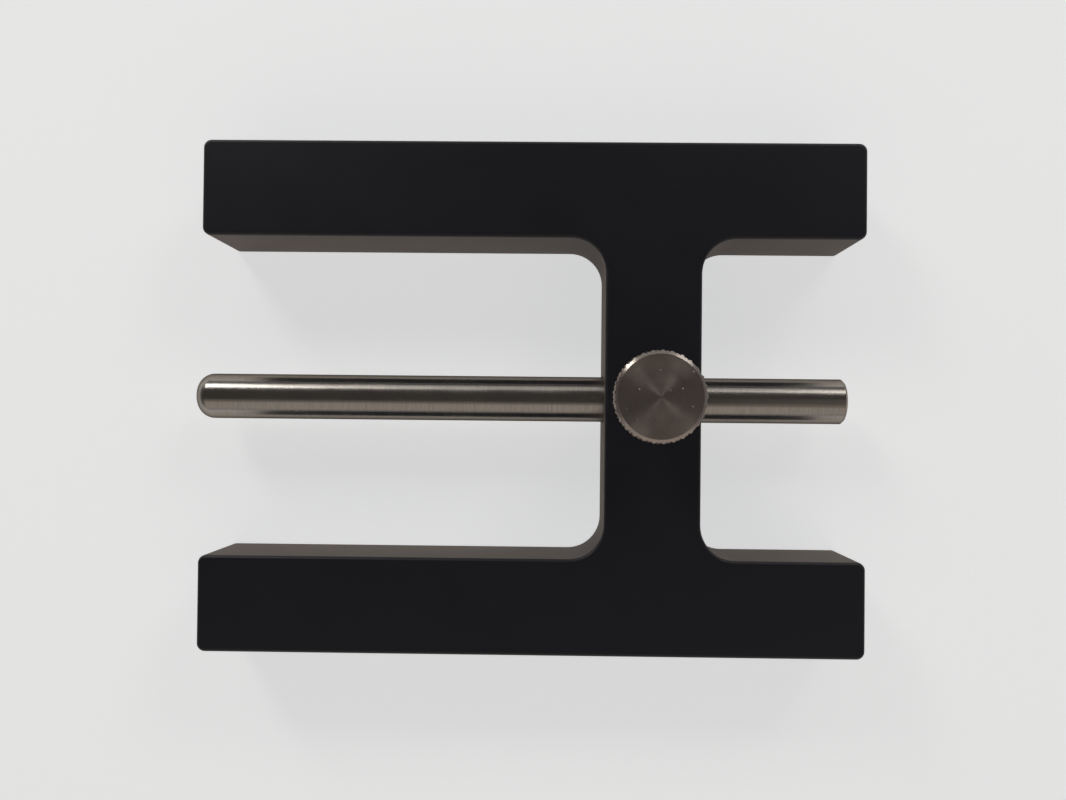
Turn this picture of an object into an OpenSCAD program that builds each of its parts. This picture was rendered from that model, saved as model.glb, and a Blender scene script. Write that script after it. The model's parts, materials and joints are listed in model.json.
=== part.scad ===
// Honing guide: an H-shaped frame with a round guide rod that slides through its bridge.
// A knurled thumb screw on the bridge clamps the rod through a small brass pad.
// Millimetres. The back face lies on Z = 0 and the screw's axis is the Z axis.
// The rod runs along X, with the long arms towards -X and the short arms towards +X.

/* [Frame] */
// Length of the frame along its arms
frame_length = 114; // [96:1:140]
// Width of the frame across both arms
frame_width = 88; // [76:1:110]
// Thickness of the plate
frame_thickness = 16; // [14:0.5:20]
// Width of each arm
arm_width = 16.5; // [12:0.5:20]
// Width of the bridge between the arms
bridge_width = 16.5; // [14:0.5:20]
// Reach of the two short arms past the bridge
short_reach = 28; // [20:0.5:36]
// Radius of the four inside corners
inside_radius = 6; // [2:0.5:8]
// Radius of the upright edges at the arm ends
end_radius = 1.4; // [0.5:0.1:3]

/* [Guide rod] */
// Diameter of the ground rod
rod_diameter = 8; // [6:0.5:9]
// Overall length of the rod
rod_length = 115.2; // [100:0.1:140]
// How far the rounded end of the rod stands past the long arms
rod_overhang = 3; // [-10:0.1:20]
// Radius that rounds the rod's long end
rod_round = 2.8; // [0.5:0.1:3]
// Chamfer on the rod's short end
rod_chamfer = 0.4; // [0.2:0.1:1]

/* [Thumb screw] */
// Diameter over the knurled head
head_diameter = 15; // [14:0.1:18]
// Height of the knurled disc
disc_height = 3.5; // [2.5:0.1:5]
// Width of the shallow chamfer on both rims of the disc
disc_chamfer = 0.7; // [0.4:0.1:1]
// Height of that chamfer
disc_chamfer_height = 0.45; // [0.2:0.05:0.7]
// Number of knurl teeth round the disc
knurl_teeth = 60; // [40:1:72]
// Depth of the knurl
knurl_depth = 0.35; // [0.2:0.05:0.4]
// Diameter of the collar under the disc
collar_diameter = 8; // [7:0.5:10]
// Height of the collar
collar_height = 6; // [4:0.5:8]
// Outside diameter of the thread
thread_diameter = 5; // [5:0.5:6]
// Gap left between the collar and the frame when the rod is clamped
collar_gap = 2.5; // [2:0.1:4]

/* [Clamp pad] */
// Diameter of the pad between the screw and the rod
pad_diameter = 4; // [3:0.1:4.5]
// Thickness of the pad over the crown of the rod
pad_thickness = 1.2; // [1:0.1:1.6]
// Diameter of the pad's stem, which turns inside the screw's tip
stem_diameter = 1.8; // [1.4:0.1:2]
// Length of the pad's stem
stem_length = 1.8; // [1:0.1:2.5]

/* [Hidden] */
$fn = 96;

// Radial clearances of the running fits, and a small overrun for clean cuts
rod_clearance = 0.03;
thread_clearance = 0.05;
stem_clearance = 0.05;
pad_gap = 0.02;
cut = 1;

// Frame
half_bridge = bridge_width / 2;
long_reach = frame_length - bridge_width - short_reach;
arm_end_x = -half_bridge - long_reach;
half_gap = frame_width / 2 - arm_width;
mouth_chamfer = 0.4;

// Rod
rod_r = rod_diameter / 2;
bore_r = rod_r + rod_clearance;
rod_z = frame_thickness / 2;
rod_start_x = arm_end_x - rod_overhang;

// Screw and pad, from the rod's crown upwards
head_r = head_diameter / 2;
collar_r = collar_diameter / 2;
hole_r = thread_diameter / 2;
shank_r = hole_r - thread_clearance;
neck_r = shank_r - 0.4;
neck_height = 1;
tip_chamfer = 0.5;
pad_z = rod_z + rod_r + pad_thickness;
tip_z = pad_z + pad_gap;
collar_z = frame_thickness + collar_gap;
disc_z = collar_z + collar_height;
face_z = disc_z + disc_height;
socket_depth = stem_length + 0.4;
rim_overrun = 0.4;

// Rectangle with its upright edges rounded
module rounded_rectangle(length, width, radius) {
    translate([radius, 0]) square([length - 2 * radius, width]);
    translate([0, radius]) square([length, width - 2 * radius]);
    for (x = [radius, length - radius], y = [radius, width - radius])
        translate([x, y]) circle(radius);
}

// Concave corner: what is left of a square when a quarter circle is taken out of it
module inside_corner(radius) {
    difference() {
        square(radius);
        translate([radius, radius]) circle(radius);
    }
}

module frame_outline() {
    for (side = [0, 1])
        mirror([0, side])
            translate([arm_end_x, half_gap]) rounded_rectangle(frame_length, arm_width, end_radius);
    square([bridge_width, 2 * half_gap + arm_width], center = true);
    for (end = [0, 1], side = [0, 1])
        mirror([end, 0]) mirror([0, side])
            translate([half_bridge, half_gap]) mirror([0, 1]) inside_corner(inside_radius);
}

// Bore for the rod along X, with a chamfer at each mouth
module rod_bore() {
    translate([0, 0, rod_z]) rotate([0, 90, 0])
        cylinder(r = bore_r, h = bridge_width + 2 * cut, center = true);
    for (end = [0, 1])
        mirror([end, 0, 0]) translate([half_bridge - mouth_chamfer, 0, rod_z]) rotate([0, 90, 0])
            cylinder(r1 = bore_r, r2 = bore_r + mouth_chamfer + cut, h = mouth_chamfer + cut);
}

// Screw hole from the front face down into the rod bore, with a countersunk mouth
module screw_hole() {
    translate([0, 0, rod_z]) cylinder(r = hole_r, h = frame_thickness);
    translate([0, 0, frame_thickness - mouth_chamfer])
        cylinder(r1 = hole_r, r2 = hole_r + mouth_chamfer + cut, h = mouth_chamfer + cut);
}

module body() {
    color([0.09, 0.09, 0.1])
        difference() {
            linear_extrude(frame_thickness) frame_outline();
            rod_bore();
            screw_hole();
        }
}

// Half section of the rod, with its axis on Y and its rounded end at the bottom
module rod_section() {
    translate([0, rod_round]) square([rod_r, rod_length - rod_round - rod_chamfer]);
    square([rod_r - rod_round, rod_round]);
    intersection() {
        translate([rod_r - rod_round, rod_round]) circle(rod_round);
        square([rod_r, rod_round]);
    }
    polygon([
        [0, rod_length - rod_chamfer],
        [rod_r, rod_length - rod_chamfer],
        [rod_r - rod_chamfer, rod_length],
        [0, rod_length]
    ]);
}

module guide_rod() {
    color([0.72, 0.71, 0.69])
        translate([rod_start_x, 0, rod_z]) rotate([0, 90, 0])
            rotate_extrude() rod_section();
}

// Toothed ring of the knurl, seen from above
module knurl_outline() {
    polygon([
        for (i = [0 : 2 * knurl_teeth - 1])
            let (r = head_r - (i % 2) * knurl_depth, a = 180 * i / knurl_teeth)
                [r * cos(a), r * sin(a)]
    ]);
}

// The toothed disc, with both rims turned to a chamfer that cuts across the teeth
module knurled_disc() {
    rim_run = disc_chamfer_height * (1 + rim_overrun / disc_chamfer);
    intersection() {
        translate([0, 0, disc_z]) linear_extrude(disc_height) knurl_outline();
        rotate_extrude()
            polygon([
                [0, disc_z],
                [head_r - disc_chamfer, disc_z],
                [head_r + rim_overrun, disc_z + rim_run],
                [head_r + rim_overrun, face_z - rim_run],
                [head_r - disc_chamfer, face_z],
                [0, face_z]
            ]);
    }
}

// Threaded shank, undercut neck and collar as one turned shape
module shank_and_collar() {
    rotate_extrude()
        polygon([
            [0, tip_z],
            [shank_r - tip_chamfer, tip_z],
            [shank_r, tip_z + tip_chamfer],
            [shank_r, collar_z - neck_height],
            [neck_r, collar_z - neck_height],
            [neck_r, collar_z],
            [collar_r, collar_z],
            [collar_r, disc_z],
            [0, disc_z]
        ]);
}

module thumb_screw() {
    color([0.66, 0.63, 0.6])
        difference() {
            union() {
                knurled_disc();
                shank_and_collar();
            }
            translate([0, 0, tip_z - cut])
                cylinder(r = stem_diameter / 2 + stem_clearance, h = socket_depth + cut);
        }
}

// Brass pad: its underside is hollowed to sit astride the rod, and its stem turns in the screw
module clamp_pad() {
    color([0.78, 0.62, 0.3])
        union() {
            difference() {
                translate([0, 0, rod_z]) cylinder(d = pad_diameter, h = pad_z - rod_z);
                translate([0, 0, rod_z]) rotate([0, 90, 0])
                    cylinder(r = bore_r, h = pad_diameter + 2 * cut, center = true);
            }
            translate([0, 0, pad_z - cut / 2]) cylinder(d = stem_diameter, h = stem_length + cut / 2);
        }
}

body();
guide_rod();
thumb_screw();
clamp_pad();
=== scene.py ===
"""Looks of the honing guide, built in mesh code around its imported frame.

Every piece is modelled in the frame's own metres: +Z up along the thumb screw, +X along the guide rod.
"""

import json
import math

import bmesh
import bpy
from mathutils import Matrix, Vector


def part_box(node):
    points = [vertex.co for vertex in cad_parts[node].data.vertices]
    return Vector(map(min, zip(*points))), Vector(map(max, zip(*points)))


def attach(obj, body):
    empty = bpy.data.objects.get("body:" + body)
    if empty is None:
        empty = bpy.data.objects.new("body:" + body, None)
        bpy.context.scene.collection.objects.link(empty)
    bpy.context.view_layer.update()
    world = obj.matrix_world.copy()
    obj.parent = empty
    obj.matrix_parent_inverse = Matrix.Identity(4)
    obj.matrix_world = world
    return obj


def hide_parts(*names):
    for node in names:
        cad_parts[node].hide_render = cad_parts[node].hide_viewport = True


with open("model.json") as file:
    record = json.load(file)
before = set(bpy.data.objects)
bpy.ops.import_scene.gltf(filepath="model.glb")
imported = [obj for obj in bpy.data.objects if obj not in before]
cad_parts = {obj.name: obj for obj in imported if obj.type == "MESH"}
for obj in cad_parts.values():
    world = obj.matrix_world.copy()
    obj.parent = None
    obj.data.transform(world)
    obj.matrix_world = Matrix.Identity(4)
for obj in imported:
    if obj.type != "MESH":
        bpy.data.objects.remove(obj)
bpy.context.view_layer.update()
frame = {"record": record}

MM = 0.001
RUN = 2 * MM  # how far a cutting tool reaches past what it cuts
SLIVER = 0.001 * MM  # vertices closer than this are one point

# ---------------------------------------------------------------- sizes, from the frame where it has them

BODY_LOW, BODY_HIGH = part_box("body")
ROD_LOW, ROD_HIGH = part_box("guide_rod")
SCREW_LOW, SCREW_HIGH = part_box("thumb_screw")
PAD_LOW, PAD_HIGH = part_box("clamp_pad")
MOUNTS = {mount["name"]: mount for mount in frame["record"]["mounts"]}

THICKNESS = BODY_HIGH.z
HALF_WIDTH = BODY_HIGH.y
HALF_GAP = MOUNTS["long_arm_inner_face_left"]["pos_m"][1]
HALF_BRIDGE = 8.25 * MM
INSIDE_RADIUS = 6 * MM
END_RADIUS = 1.4 * MM
EDGE_BREAK = 0.6 * MM

ROD_R = (ROD_HIGH.z - ROD_LOW.z) / 2
ROD_Z = (ROD_HIGH.z + ROD_LOW.z) / 2
ROD_ROUND = 2.8 * MM
ROD_CHAMFER = 0.4 * MM
BORE_R = ROD_R + 0.03 * MM
MOUTH_CHAMFER = 0.4 * MM

THREAD_R = 2.5 * MM
THREAD_PITCH = 0.8 * MM
THREAD_DEPTH = 0.41 * MM
THREAD_PLAY = 0.05 * MM
TIP_CHAMFER = 0.5 * MM

HEAD_R = SCREW_HIGH.x
FACE_Z = SCREW_HIGH.z
TIP_Z = SCREW_LOW.z
DISC_Z = FACE_Z - 3.5 * MM
COLLAR_Z = DISC_Z - 6 * MM
COLLAR_R = 4 * MM
NECK_R = 2.1 * MM  # a little wider than the thread's root, so that the thread ends on it
NECK_HEIGHT = 1 * MM
DISC_CHAMFER = 0.7 * MM
DISC_CHAMFER_HEIGHT = 0.45 * MM
DISC_ROUND = 0.3 * MM
KNURL_COUNT = 29
KNURL_DEPTH = 0.3 * MM
KNURL_ANGLE = math.radians(40)
KNURL_SPIKE = 0.05 * MM
KNURL_PHASE = 0.3  # part of a column that the knurl is turned by

PAD_R = (PAD_HIGH.x - PAD_LOW.x) / 2
PAD_TOP = TIP_Z - 0.02 * MM
STEM_R = 0.9 * MM
SOCKET_R = 0.95 * MM
SOCKET_DEPTH = 2.2 * MM


# ---------------------------------------------------------------- mesh helpers

def make_object(name, vertices, faces):
    """New mesh object with its normals facing out."""
    mesh = bpy.data.meshes.new(name)
    mesh.from_pydata([tuple(v) for v in vertices], [], faces)
    obj = bpy.data.objects.new(name, mesh)
    bpy.context.scene.collection.objects.link(obj)
    edit_mesh(obj, face_out)
    return obj


def edit_mesh(obj, change):
    """Runs change(bm) on the object's mesh."""
    bm = bmesh.new()
    bm.from_mesh(obj.data)
    change(bm)
    bm.to_mesh(obj.data)
    bm.free()


def face_out(bm):
    """Turns every face outwards."""
    bmesh.ops.recalc_face_normals(bm, faces=bm.faces)


def close_ends(bm):
    """Closes the two open ends of a tube along Z with fans that meet on the axis."""
    rim = [edge for edge in bm.edges if edge.is_boundary]
    heights = [edge.verts[0].co.z for edge in rim]
    middle = (min(heights) + max(heights)) / 2
    for is_end in (lambda z: z < middle, lambda z: z >= middle):
        edges = [edge for edge in rim if is_end(edge.verts[0].co.z)]
        mean = sum(edge.verts[0].co.z for edge in edges) / len(edges)
        hub = bm.verts.new((0, 0, mean))
        for edge in edges:
            bm.faces.new((*edge.verts, hub))
    face_out(bm)


def ring(radius, z, segments):
    """Points round the Z axis, anticlockwise from +X."""
    angles = [math.tau * i / segments for i in range(segments)]
    return [Vector((radius * math.cos(a), radius * math.sin(a), z)) for a in angles]


def ring_quads(count, layers):
    """Faces between stacked rings of count vertices each."""
    faces = []
    for k in range(layers - 1):
        low, high = k * count, (k + 1) * count
        for i in range(count):
            j = (i + 1) % count
            faces.append((low + i, low + j, high + j, high + i))
    return faces


def lathe(name, profile, segments=128):
    """Turned solid about Z.

    The profile is (radius, z) points, bottom to top, and starts and ends on the axis.
    """
    rings = profile[1:-1]
    vertices = [point for radius, z in rings for point in ring(radius, z, segments)]
    faces = ring_quads(segments, len(rings))
    bottom, top = len(vertices), len(vertices) + 1
    last = bottom - segments
    vertices += [Vector((0, 0, profile[0][1])), Vector((0, 0, profile[-1][1]))]
    for i in range(segments):
        j = (i + 1) % segments
        faces += [(bottom, j, i), (top, last + i, last + j)]
    return make_object(name, vertices, faces)


def arc(centre, start, end, steps):
    """Points from start to end round the centre, the short way."""
    first, last = start - centre, end - centre
    angle = math.atan2(first.y, first.x)
    sweep = (math.atan2(last.y, last.x) - angle + math.pi) % math.tau - math.pi
    angles = [angle + sweep * k / steps for k in range(steps + 1)]
    return [centre + first.length * Vector((math.cos(a), math.sin(a))) for a in angles]


def rounded(profile, radii, steps):
    """The profile with the corners named in radii, {index: radius}, replaced by arcs."""
    out = []
    for i, point in enumerate(profile):
        if i not in radii:
            out.append(point)
            continue
        here = Vector(point)
        back = (Vector(profile[i - 1]) - here).normalized()
        ahead = (Vector(profile[i + 1]) - here).normalized()
        half = back.angle(ahead) / 2
        reach = radii[i] / math.tan(half)
        centre = here + (back + ahead).normalized() * (radii[i] / math.sin(half))
        out += [tuple(p) for p in arc(centre, here + back * reach, here + ahead * reach, steps)]
    return out


def combine(obj, tool, operation):
    """Exact boolean of obj with tool. The tool is used up."""
    modifier = obj.modifiers.new("combine", "BOOLEAN")
    modifier.operation = operation
    modifier.solver = "EXACT"
    modifier.object = tool
    evaluated = obj.evaluated_get(bpy.context.evaluated_depsgraph_get())
    mesh = bpy.data.meshes.new_from_object(evaluated)
    obj.modifiers.clear()
    obj.data = mesh
    bpy.data.objects.remove(tool)
    edit_mesh(obj, lambda bm: close_slivers(bm, SLIVER))
    return obj


def close_slivers(bm, distance):
    """Merges vertices closer than distance, and drops the folded faces and bare edges that are left."""
    bmesh.ops.remove_doubles(bm, verts=bm.verts, dist=distance)
    bmesh.ops.dissolve_degenerate(bm, edges=bm.edges, dist=distance / 2)
    twins = {}
    for face in bm.faces:
        twins.setdefault(frozenset(face.verts), []).append(face)
    folded = [face for pair in twins.values() if len(pair) > 1 for face in pair]
    bmesh.ops.delete(bm, geom=folded, context="FACES_ONLY")
    bmesh.ops.delete(bm, geom=[edge for edge in bm.edges if edge.is_wire], context="EDGES")


def finish_mesh(obj, smooth_angle):
    """Closes slivers, and shades smooth between faces that meet at less than smooth_angle."""

    def clean(bm):
        close_slivers(bm, 2 * SLIVER)
        for face in bm.faces:
            face.smooth = True
        for edge in bm.edges:
            edge.smooth = edge.is_manifold and edge.calc_face_angle(math.pi) < smooth_angle

    edit_mesh(obj, clean)
    normals = obj.modifiers.new("normals", "WEIGHTED_NORMAL")
    normals.mode = "FACE_AREA"
    normals.keep_sharp = True
    return obj


def along_x(start_x, z):
    """Turns a solid made along Z to lie along X from start_x, at height z."""
    return Matrix.Translation((start_x, 0, z)) @ Matrix.Rotation(math.pi / 2, 4, "Y")


# ---------------------------------------------------------------- threads

def thread_radii(crest, root, rows=8):
    """Radius of each row of one pitch of a 60 degree thread with flat crests and roots."""
    flat = 0.2  # part of the pitch that is flat at the crest, and as much again at the root
    radii = []
    for k in range(rows):
        off_crest = abs(k / rows - 0.5) * 2
        flank = min(1, max(0, (off_crest - flat) / (1 - 2 * flat)))
        radii.append(crest + (root - crest) * flank)
    return radii


def helix_tube(name, low, high, radii, segments=72):
    """Closed tube whose rows climb one thread pitch a turn. radii has one radius for each row."""
    rows_a_pitch = len(radii)
    row_height = THREAD_PITCH / rows_a_pitch
    first = math.floor(low / row_height) - rows_a_pitch
    count = math.ceil((high - low) / row_height) + 2 * rows_a_pitch
    vertices = []
    for row in range(first, first + count):
        for i in range(segments):
            a = math.tau * i / segments
            r = radii[row % rows_a_pitch]
            z = (row + rows_a_pitch * i / segments) * row_height
            vertices.append(Vector((r * math.cos(a), r * math.sin(a), z)))
    faces = []
    for row in range(count - 1):
        start = row * segments
        for i in range(segments - 1):
            faces.append((start + i, start + i + 1, start + segments + i + 1, start + segments + i))
        # a row that has gone once round joins the row one pitch above it
        if row + rows_a_pitch + 1 < count:
            over = (row + rows_a_pitch) * segments
            faces.append((start + segments - 1, over, over + segments, start + 2 * segments - 1))
    obj = make_object(name, vertices, faces)
    edit_mesh(obj, close_ends)
    return obj


# ---------------------------------------------------------------- body

def rounded_outline(corners, steps):
    """Points and outward normals of an anticlockwise outline of square corners (x, y, radius)."""
    outline = []
    for i, (x, y, radius) in enumerate(corners):
        here = Vector((x, y))
        arrive = (here - Vector(corners[i - 1][:2])).normalized()
        leave = (Vector(corners[(i + 1) % len(corners)][:2]) - here).normalized()
        convex = arrive.x * leave.y - arrive.y * leave.x
        start, end = here - arrive * radius, here + leave * radius
        centre = start + leave * radius
        for point in arc(centre, start, end, steps):
            outline.append((point, (point - centre).normalized() * convex))
    return outline


def frame_corners():
    """The H outline: two arms joined by the bridge, as (x, y, radius)."""
    left, right = BODY_LOW.x, BODY_HIGH.x
    outer, inner, bridge = HALF_WIDTH, HALF_GAP, HALF_BRIDGE
    end, inside = END_RADIUS, INSIDE_RADIUS
    return [
        (left, -outer, end),
        (right, -outer, end),
        (right, -inner, end),
        (bridge, -inner, inside),
        (bridge, inner, inside),
        (right, inner, end),
        (right, outer, end),
        (left, outer, end),
        (left, inner, end),
        (-bridge, inner, inside),
        (-bridge, -inner, inside),
        (left, -inner, end),
    ]


def edge_layers(steps=6):
    """(inset, z) of each layer from the back face to the front face, with both rims rounded."""
    turns = [math.pi / 2 * k / steps for k in range(steps + 1)]
    rim = [(EDGE_BREAK * (1 - math.sin(a)), EDGE_BREAK * (1 - math.cos(a))) for a in turns]
    return rim + [(inset, THICKNESS - z) for inset, z in reversed(rim)]


def make_body():
    """The H-shaped frame, with its bore and its tapped hole."""
    outline = rounded_outline(frame_corners(), steps=12)
    layers = edge_layers()
    count = len(outline)
    vertices = [(*(point - normal * inset), z) for inset, z in layers for point, normal in outline]
    back = tuple(reversed(range(count)))
    front = tuple(range(len(vertices) - count, len(vertices)))
    obj = make_object("h_frame", vertices, [back, *ring_quads(count, len(layers)), front])
    combine(obj, bore_tool(), "DIFFERENCE")
    combine(obj, tap_tool(), "DIFFERENCE")
    return finish_mesh(obj, math.radians(32))


def bore_tool():
    """What the reamer and the countersinks take out of the bridge, along X."""
    half = HALF_BRIDGE
    wide = BORE_R + MOUTH_CHAMFER + RUN
    tool = lathe("bore_tool", [
        (0, -half - RUN),
        (wide, -half - RUN),
        (BORE_R, -half + MOUTH_CHAMFER),
        (BORE_R, half - MOUTH_CHAMFER),
        (wide, half + RUN),
        (0, half + RUN),
    ])
    tool.data.transform(along_x(0, ROD_Z))
    return tool


def tap_tool():
    """What the tap and its countersink take out between the front face and the bore."""
    low, high = ROD_Z + RUN, THICKNESS + RUN
    mouth = THREAD_R + 0.2 * MM
    tool = helix_tube("tap_tool", low, high, thread_radii(THREAD_R, THREAD_R - THREAD_DEPTH))
    trim = lathe("tap_trim", [(0, low), (2 * THREAD_R, low), (2 * THREAD_R, high), (0, high)])
    combine(tool, trim, "INTERSECT")
    sink = lathe("sink_tool", [(0, THICKNESS - mouth), (mouth + RUN, high), (0, high)])
    return combine(tool, sink, "UNION")


# ---------------------------------------------------------------- guide rod

def make_rod():
    """Plain bar with one rounded end, at -X, and one chamfered end."""
    length = ROD_HIGH.x - ROD_LOW.x
    edge = 0.1 * MM
    profile = [
        (0, 0),
        (ROD_R, 0),
        (ROD_R, length - ROD_CHAMFER),
        (ROD_R - ROD_CHAMFER, length),
        (0, length),
    ]
    profile = rounded(profile, {1: ROD_ROUND, 2: edge, 3: edge}, steps=10)
    obj = lathe("guide_bar", profile, segments=160)
    obj.data.transform(along_x(ROD_LOW.x, ROD_Z))
    return finish_mesh(obj, math.radians(40))


# ---------------------------------------------------------------- thumb screw

def knurl_tube(low, high):
    """Closed tube covered in the pyramids of a crossed knurl.

    Vertices stand where the two sets of helical grooves cross and halfway between. The points midway
    between the grooves of both sets are the peaks, and every other point is at the bottom of a groove.
    The peaks stand out past the disc, which leaves a small flat on each when the disc is turned to size.
    """
    columns = 4 * KNURL_COUNT
    rise = math.pi * HEAD_R / KNURL_COUNT / math.tan(KNURL_ANGLE) / 2
    rows = math.ceil((high - low) / rise) + 2
    vertices, places, peaks = [], {}, set()
    for row in range(rows):
        for column in range(row % 2, columns, 2):
            places[row, column] = len(vertices)
            r = HEAD_R - KNURL_DEPTH
            if (column + row) // 2 % 2 == 1 and (column - row) // 2 % 2 == 1:
                peaks.add((row, column))
                r = HEAD_R + KNURL_SPIKE
            a = math.tau * (column + KNURL_PHASE) / columns
            vertices.append(Vector((r * math.cos(a), r * math.sin(a), low + row * rise)))
    faces = []
    for row in range(1, rows - 1):
        for column in range((row + 1) % 2, columns, 2):
            left, right = (row, (column - 1) % columns), (row, (column + 1) % columns)
            below, above = (row - 1, column), (row + 1, column)
            # each cell folds along the diagonal that runs up to its peak
            if below in peaks or above in peaks:
                cell = [(below, right, above), (below, above, left)]
            else:
                cell = [(left, below, right), (left, right, above)]
            faces += [tuple(places[corner] for corner in triangle) for triangle in cell]
    obj = make_object("turned_screw", vertices, faces)
    edit_mesh(obj, close_ends)
    return obj


def disc_blank():
    """The disc as it is turned: flat faces and a shallow chamfer round each."""
    profile = [
        (0, DISC_Z),
        (HEAD_R - DISC_CHAMFER, DISC_Z),
        (HEAD_R, DISC_Z + DISC_CHAMFER_HEIGHT),
        (HEAD_R, FACE_Z - DISC_CHAMFER_HEIGHT),
        (HEAD_R - DISC_CHAMFER, FACE_Z),
        (0, FACE_Z),
    ]
    return lathe("disc_blank", rounded(profile, {1: DISC_ROUND, 4: DISC_ROUND}, steps=4), segments=240)


def collar():
    """Collar and undercut neck. The collar runs on into the disc."""
    overlap = 0.3 * MM
    fillet, rim = 0.15 * MM, 0.25 * MM
    profile = [
        (0, COLLAR_Z - NECK_HEIGHT),
        (NECK_R, COLLAR_Z - NECK_HEIGHT),
        (NECK_R, COLLAR_Z),
        (COLLAR_R, COLLAR_Z),
        (COLLAR_R, DISC_Z),
        (COLLAR_R + overlap, DISC_Z + overlap),
        (0, DISC_Z + overlap),
    ]
    return lathe("collar", rounded(profile, {2: fillet, 3: rim}, steps=4))


def threaded_shank():
    """Thread with a chamfered tip. It runs out in a cone, which ends inside the neck."""
    crest = THREAD_R - THREAD_PLAY
    thread_top = COLLAR_Z - NECK_HEIGHT
    low, high = TIP_Z, thread_top + THREAD_DEPTH
    tool = helix_tube("shank", low, high, thread_radii(crest, crest - THREAD_DEPTH))
    clear = 0.1 * MM
    blank = lathe("shank_blank", [
        (0, low),
        (crest - TIP_CHAMFER, low),
        (crest + clear, low + TIP_CHAMFER + clear),
        (crest + clear, thread_top),
        (NECK_R - clear, high + clear),
        (0, high + clear),
    ])
    return combine(tool, blank, "INTERSECT")


def make_screw():
    """Knurled disc, collar, neck and thread in one, with a socket in the tip for the pad's stem."""
    obj = knurl_tube(DISC_Z - RUN, FACE_Z + RUN)
    combine(obj, disc_blank(), "INTERSECT")
    combine(obj, collar(), "UNION")
    combine(obj, threaded_shank(), "UNION")
    top = TIP_Z + SOCKET_DEPTH
    socket = [(0, TIP_Z - RUN), (SOCKET_R, TIP_Z - RUN), (SOCKET_R, top), (0, top + SOCKET_R / 2)]
    combine(obj, lathe("socket_tool", socket, segments=48), "DIFFERENCE")
    return finish_mesh(obj, math.radians(25))


# ---------------------------------------------------------------- clamp pad

def make_pad():
    """Small plug with a stem. Its underside is hollowed to sit on the rod."""
    profile = [
        (0, ROD_Z),
        (PAD_R, ROD_Z),
        (PAD_R, PAD_TOP),
        (STEM_R, PAD_TOP),
        (STEM_R, PAD_HIGH.z),
        (0, PAD_HIGH.z),
    ]
    rims = {2: 0.15 * MM, 4: 0.2 * MM}
    obj = lathe("pad_and_stem", rounded(profile, rims, steps=4), segments=96)
    reach = PAD_R + RUN
    saddle = lathe("saddle_tool", [(0, -reach), (BORE_R, -reach), (BORE_R, reach), (0, reach)])
    saddle.data.transform(along_x(0, ROD_Z))
    combine(obj, saddle, "DIFFERENCE")
    return finish_mesh(obj, math.radians(30))


# ---------------------------------------------------------------- materials

class Shader:
    """A node material around one Principled shader, with short calls for the nodes it uses."""

    def __init__(self, name, **inputs):
        self.material = bpy.data.materials.new(name)
        self.material.use_nodes = True
        self.nodes = self.material.node_tree.nodes
        self.links = self.material.node_tree.links
        self.principled = self.nodes["Principled BSDF"]
        for key, value in inputs.items():
            self.principled.inputs[key.replace("_", " ")].default_value = value

    def node(self, kind, values=None, **settings):
        """New node. values sets input sockets, by name or number, and settings the node's own options."""
        made = self.nodes.new("ShaderNode" + kind)
        for key, value in settings.items():
            setattr(made, key, value)
        for key, value in (values or {}).items():
            self.put(value, made.inputs[key])
        return made

    def put(self, value, socket):
        """Links value to the socket if value is itself a socket, and stores it otherwise."""
        if isinstance(value, bpy.types.NodeSocket):
            self.links.new(value, socket)
        else:
            socket.default_value = value

    def math(self, operation, *values):
        """Result of a math node."""
        return self.node("Math", dict(enumerate(values)), operation=operation).outputs[0]

    def place(self, stretch=(1, 1, 1)):
        """Object coordinates, in metres, scaled along each axis."""
        where = self.node("TexCoord").outputs["Object"]
        return self.node("VectorMath", {0: where, 1: stretch}, operation="MULTIPLY").outputs[0]

    def noise(self, vector, size, detail):
        """Noise from 0 to 1 with features of about that size, in metres."""
        values = {"Vector": vector, "Scale": 1 / size, "Detail": detail}
        return self.node("TexNoise", values).outputs["Fac"]

    def between(self, factor, low, high, start=0.3, end=0.7):
        """Number that goes from low to high as factor goes from start to end."""
        values = {"Value": factor, "From Min": start, "From Max": end, "To Min": low, "To Max": high}
        return self.node("MapRange", values).outputs["Result"]

    def blend(self, factor, first, second):
        """Colour between first and second."""
        mix = self.node("Mix", data_type="RGBA")
        for value, socket in ((factor, mix.inputs[0]), (first, mix.inputs[6]), (second, mix.inputs[7])):
            self.put(value, socket)
        return mix.outputs[2]

    def bump(self, height, depth, strength):
        """Normal roughened by a height from 0 to 1, with a depth in metres."""
        values = {"Height": height, "Distance": depth, "Strength": strength}
        return self.node("Bump", values).outputs["Normal"]

    def tangent(self, axis):
        """Tangent that runs round the axis."""
        return self.node("Tangent", direction_type="RADIAL", axis=axis).outputs[0]

    def use(self, **sockets):
        """Links sockets to the Principled shader's inputs, and returns the material."""
        for key, socket in sockets.items():
            self.put(socket, self.principled.inputs[key.replace("_", " ")])
        return self.material


def black_anodised():
    """Satin black anodising over bead-blasted aluminium: a fine even grain with faint cloudy patches."""
    warm = (1, 0.75, 0.55, 1)
    shader = Shader("black_anodised", Specular_IOR_Level=0.75, Sheen_Weight=0.24, Sheen_Tint=warm)
    where = shader.place()
    grain = shader.noise(where, 0.25 * MM, detail=3.0)
    cloud = shader.noise(where, 9 * MM, detail=2.0)
    tone = shader.math("ADD", shader.math("MULTIPLY", grain, 0.65), shader.math("MULTIPLY", cloud, 0.35))
    dark, light = (0.001, 0.004, 0.016, 1), (0.004, 0.009, 0.026, 1)
    return shader.use(
        Base_Color=shader.blend(shader.between(tone, 0, 1), dark, light),
        Roughness=shader.between(tone, 0.41, 0.53),
        Normal=shader.bump(grain, 0.02 * MM, 0.35),
    )


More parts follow.
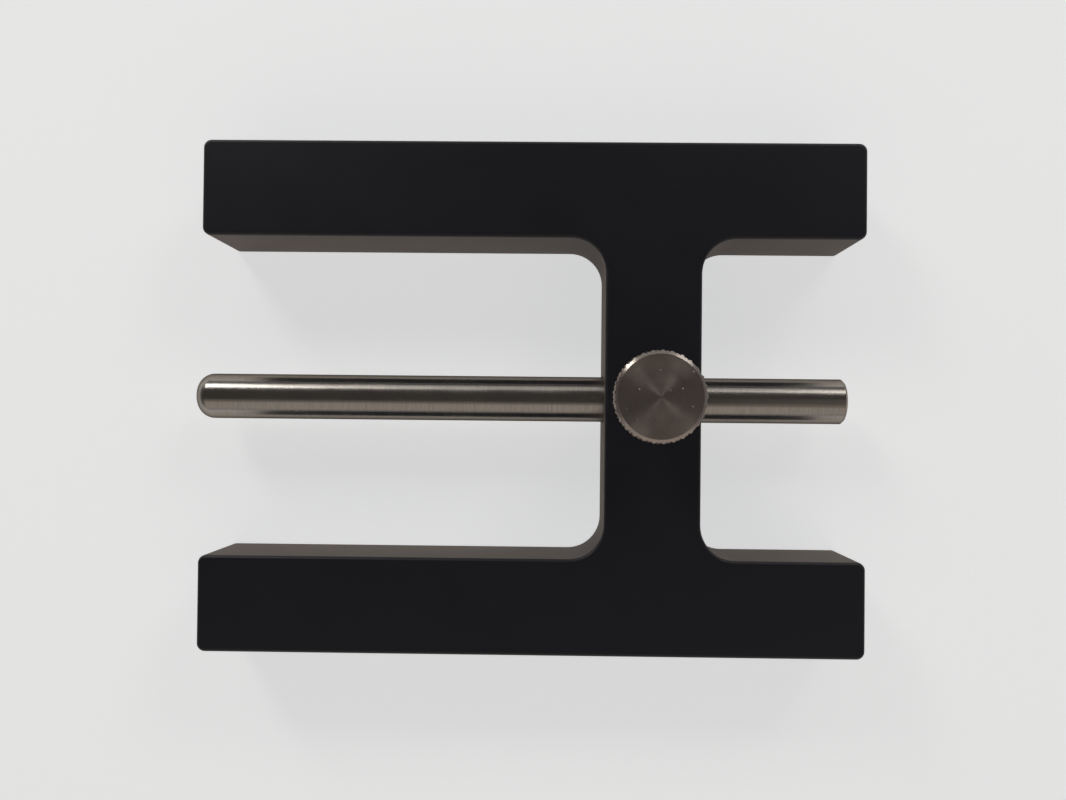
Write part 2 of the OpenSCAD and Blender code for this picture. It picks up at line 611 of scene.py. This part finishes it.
def ground_steel():
    """Centreless-ground stainless bar: hair-fine marks round it, so its reflections lie along it."""
    shader = Shader("ground_stainless", Metallic=1.0, Anisotropic=0.65, Anisotropic_Rotation=0.25)
    shader.put((0.2, 0.19, 0.18, 1), shader.principled.inputs["Specular Tint"])
    marks = shader.noise(shader.place((1, 0.04, 0.04)), 0.12 * MM, detail=3.0)
    cloud = shader.noise(shader.place((0.25, 1, 1)), 1.6 * MM, detail=2.0)
    light, dark = (0.66, 0.635, 0.6, 1), (0.54, 0.515, 0.485, 1)
    return shader.use(
        Base_Color=shader.blend(shader.between(marks, 0, 1), dark, light),
        Roughness=shader.between(cloud, 0.2, 0.28),
        Normal=shader.bump(marks, 0.006 * MM, 0.25),
        Tangent=shader.tangent("X"),
    )


def turned_steel():
    """Stainless turned on a lathe, with a few specks of dust.

    The marks are rings round the screw's axis, so light fans out from the middle of the face.
    """
    shader = Shader("turned_stainless", Anisotropic=0.85, Anisotropic_Rotation=0.25)
    where = shader.node("TexCoord").outputs["Object"]
    split = shader.node("SeparateXYZ", {0: where})
    flat = shader.node("CombineXYZ", {0: split.outputs[0], 1: split.outputs[1]}).outputs[0]
    radius = shader.node("VectorMath", {0: flat}, operation="LENGTH").outputs["Value"]
    ring_place = shader.node("CombineXYZ", {0: radius, 2: split.outputs[2]}).outputs[0]
    rings = shader.noise(ring_place, 0.1 * MM, detail=2.0)
    cloud = shader.noise(where, 2.2 * MM, detail=3.0)
    light, dark, dust = (0.74, 0.66, 0.615, 1), (0.6, 0.535, 0.495, 1), (0.92, 0.92, 0.9, 1)
    # about one cell in three holds a speck, a small spot round the cell's point
    cell_size = 1.7 * MM
    cells = shader.node("TexVoronoi", {"Vector": flat, "Scale": 1 / cell_size}, voronoi_dimensions="2D")
    pick = shader.node("SeparateXYZ", {0: cells.outputs["Color"]}).outputs[0]
    chosen = shader.between(pick, 0, 1, start=0.7, end=1.0)
    spot = shader.between(cells.outputs["Distance"], 1, 0, start=0.04, end=0.1)
    speck = shader.math("MULTIPLY", chosen, spot)
    steel = shader.blend(shader.between(rings, 0, 1), dark, light)
    return shader.use(
        Base_Color=shader.blend(speck, steel, dust),
        Metallic=shader.between(speck, 1, 0, start=0, end=1),
        Roughness=shader.between(cloud, 0.27, 0.35),
        Normal=shader.bump(rings, 0.006 * MM, 0.3),
        Tangent=shader.tangent("Z"),
    )


def machined_brass():
    """Turned brass, a little tarnished."""
    shader = Shader("machined_brass", Metallic=1.0)
    marks = shader.noise(shader.place((0.05, 0.05, 1)), 0.08 * MM, detail=2.0)
    tarnish = shader.noise(shader.place(), 1.2 * MM, detail=3.0)
    bright, dull = (0.78, 0.58, 0.28, 1), (0.5, 0.35, 0.16, 1)
    return shader.use(
        Base_Color=shader.blend(shader.between(tarnish, 0, 1), bright, dull),
        Roughness=shader.between(tarnish, 0.25, 0.42),
        Normal=shader.bump(marks, 0.006 * MM, 0.3),
    )


def floor_paper(name, glow, tint):
    """Dull pale paper that gives off a little light of its own."""
    shader = Shader(name, Emission_Color=(*tint, 1), Emission_Strength=glow, Specular_IOR_Level=0)
    shader.material.cycles.emission_sampling = "NONE"
    fibre = shader.noise(shader.place(), 3 * MM, detail=3.0)
    dark, light = [(*(level * part for part in tint), 1) for level in (0.8, 0.84)]
    return shader.use(
        Base_Color=shader.blend(fibre, dark, light),
        Roughness=shader.between(fibre, 0.7, 0.8),
    )


# ---------------------------------------------------------------- pieces

def add_piece(obj, material, body, node):
    """Gives the piece its material, and puts it on its body in place of the CAD node."""
    obj.data.materials.clear()
    obj.data.materials.append(material)
    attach(obj, body)
    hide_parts(node)


add_piece(make_body(), black_anodised(), "frame", "body")
add_piece(make_rod(), ground_steel(), "rod", "guide_rod")
add_piece(make_screw(), turned_steel(), "screw", "thumb_screw")
add_piece(make_pad(), machined_brass(), "pad", "clamp_pad")


# ---------------------------------------------------------------- floor, light and camera

def make_floor():
    """Pale paper, and a greyer copy of it that only reflections see."""
    half = 6.0
    corners = [(-half, -half, 0), (half, -half, 0), (half, half, 0), (-half, half, 0)]
    paper = floor_paper("floor_paper", glow=0.6, tint=(0.975, 0.988, 1))
    dim_paper = floor_paper("dim_paper", glow=0.22, tint=(1, 0.94, 0.88))
    seen = make_object("floor", corners, [(0, 1, 2, 3)])
    seen.data.materials.append(paper)
    seen.visible_glossy = False
    mirrored = make_object("floor_in_reflections", corners, [(0, 1, 2, 3)])
    mirrored.data.materials.append(dim_paper)
    mirrored.visible_camera = mirrored.visible_diffuse = mirrored.visible_shadow = False
    # a hair apart, so that the two never coincide
    for floor, gap in ((seen, 0.03 * MM), (mirrored, 0.01 * MM)):
        floor.location.z = BODY_LOW.z - gap
    make_wall(paper, seen.location.z)


def make_wall(paper, bottom):
    """Round wall that the floor curves up into. Only the camera sees it."""
    radius, height, curve = 5.0, 4.0, 1.5
    segments, steps = 96, 24
    foot = radius - curve
    outline = arc(Vector((foot, curve)), Vector((foot, 0)), Vector((radius, curve)), steps)
    outline.append(Vector((radius, height)))
    rings = [ring(point.x, point.y, segments) for point in outline]
    wall = make_object("wall", sum(rings, []), ring_quads(segments, len(rings)))
    wall.location.z = bottom + 0.5 * MM
    wall.data.materials.append(paper)
    wall.data.shade_smooth()
    wall.visible_glossy = wall.visible_diffuse = wall.visible_shadow = False


def soft_box(name, azimuth, elevation, size, radiance, colour, distance=0.8):
    """Area light that shines on the object from a direction, in degrees. Azimuth 0 is +X and 90 is +Y."""
    lamp = bpy.data.lights.new(name, "AREA")
    lamp.shape = "RECTANGLE"
    lamp.size, lamp.size_y = size
    lamp.energy = radiance * math.pi * size[0] * size[1]
    lamp.color = colour
    obj = bpy.data.objects.new(name, lamp)
    a, e = math.radians(azimuth), math.radians(elevation)
    away = Vector((math.cos(a) * math.cos(e), math.sin(a) * math.cos(e), math.sin(e)))
    obj.location = away * distance
    obj.rotation_euler = away.to_track_quat("Z", "Y").to_euler()
    obj.visible_camera = False
    bpy.context.scene.collection.objects.link(obj)


def make_lights():
    """Two small lamps at the back, and dim panels for the rest of the room."""
    warm, neutral = (1.0, 0.88, 0.77), (1.0, 0.96, 0.91)
    soft_box("wall_glow", -90, 38, size=(1.8, 1.0), radiance=0.11, colour=warm)
    soft_box("wall_core", -90, 39, size=(1.7, 0.58), radiance=0.16, colour=warm, distance=0.79)
    soft_box("back_glow", 93, 35, size=(1.1, 0.3), radiance=0.32, colour=neutral)
    soft_box("lamp_left", 128, 30.5, size=(0.18, 0.24), radiance=5.3, colour=neutral)
    soft_box("lamp_right", 53, 33.5, size=(0.24, 0.22), radiance=2.7, colour=neutral)
    soft_box("right_glow", -16, 64, size=(0.46, 0.3), radiance=0.085, colour=warm)


def make_world():
    """Dim overhead, and pale at the horizon, as in a room with a white wall all round."""
    world = bpy.data.worlds.new("room")
    world.use_nodes = True
    nodes, links = world.node_tree.nodes, world.node_tree.links
    where = nodes.new("ShaderNodeTexCoord")
    split = nodes.new("ShaderNodeSeparateXYZ")
    ramp = nodes.new("ShaderNodeValToRGB")
    links.new(where.outputs["Generated"], split.inputs[0])
    links.new(split.outputs[2], ramp.inputs[0])
    links.new(ramp.outputs[0], nodes["Background"].inputs["Color"])
    ramp.color_ramp.interpolation = "EASE"
    horizon, overhead = ramp.color_ramp.elements
    horizon.position, horizon.color = 0.02, (0.45, 0.45, 0.45, 1)
    overhead.position, overhead.color = 0.3, (0.046, 0.042, 0.039, 1)
    bpy.context.scene.world = world


def make_camera():
    """Straight above, a little towards the long arms, with a short lens as on a phone."""
    data = bpy.data.cameras.new("camera")
    data.sensor_width = 36
    data.lens = 30.39
    data.shift_x = -0.0135
    data.shift_y = 0.0116
    data.clip_start = 0.005
    camera = bpy.data.objects.new("camera", data)
    camera.location = (-16.15 * MM, -4.3 * MM, 169.5 * MM)
    camera.rotation_euler = [math.radians(angle) for angle in (0.682, 0.693, 0.579)]
    bpy.context.scene.collection.objects.link(camera)
    bpy.context.scene.camera = camera


make_floor()
make_lights()
make_world()
make_camera()
bpy.context.scene.view_settings.view_transform = "Standard"
